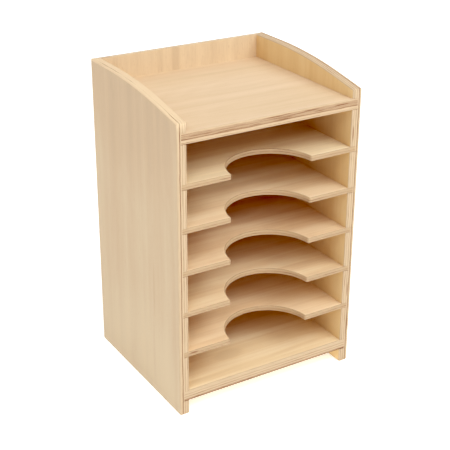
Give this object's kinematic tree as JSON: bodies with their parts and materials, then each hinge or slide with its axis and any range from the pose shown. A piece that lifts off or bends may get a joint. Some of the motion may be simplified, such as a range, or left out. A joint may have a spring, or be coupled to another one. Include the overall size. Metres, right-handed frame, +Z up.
{
  "type": "desktop rack organizer",
  "caption": "Narrow tabletop rack in glued plywood: stacked open-front compartments with rounded finger cut-outs, and a walled tray on top.",
  "frame": {"origin": "centre of the case on the surface that it stands on", "axes": "+Z up, +Y towards the back panel, -Y is the open front, +X to the right seen from the front"},
  "size_m": [0.182, 0.156, 0.285],
  "materials": {
    "side_plywood": "sanded birch plywood, thin clear satin varnish, plies showing on the edges",
    "board_plywood": "sanded birch plywood, thin clear satin varnish, plies showing on the front edge",
    "shelf_plywood": "thin sanded birch plywood, clear satin varnish",
    "back_plywood": "thin birch plywood with upright grain, clear satin varnish"
  },
  "bodies": {
    "root": {"left_side": "side_plywood", "right_side": "side_plywood", "top_board": "board_plywood", "bottom_board": "board_plywood", "back_panel": "back_plywood", "shelf_1": "shelf_plywood", "shelf_2": "shelf_plywood", "shelf_3": "shelf_plywood", "shelf_4": "shelf_plywood", "shelf_5": "shelf_plywood"}
  },
  "joints": []
}
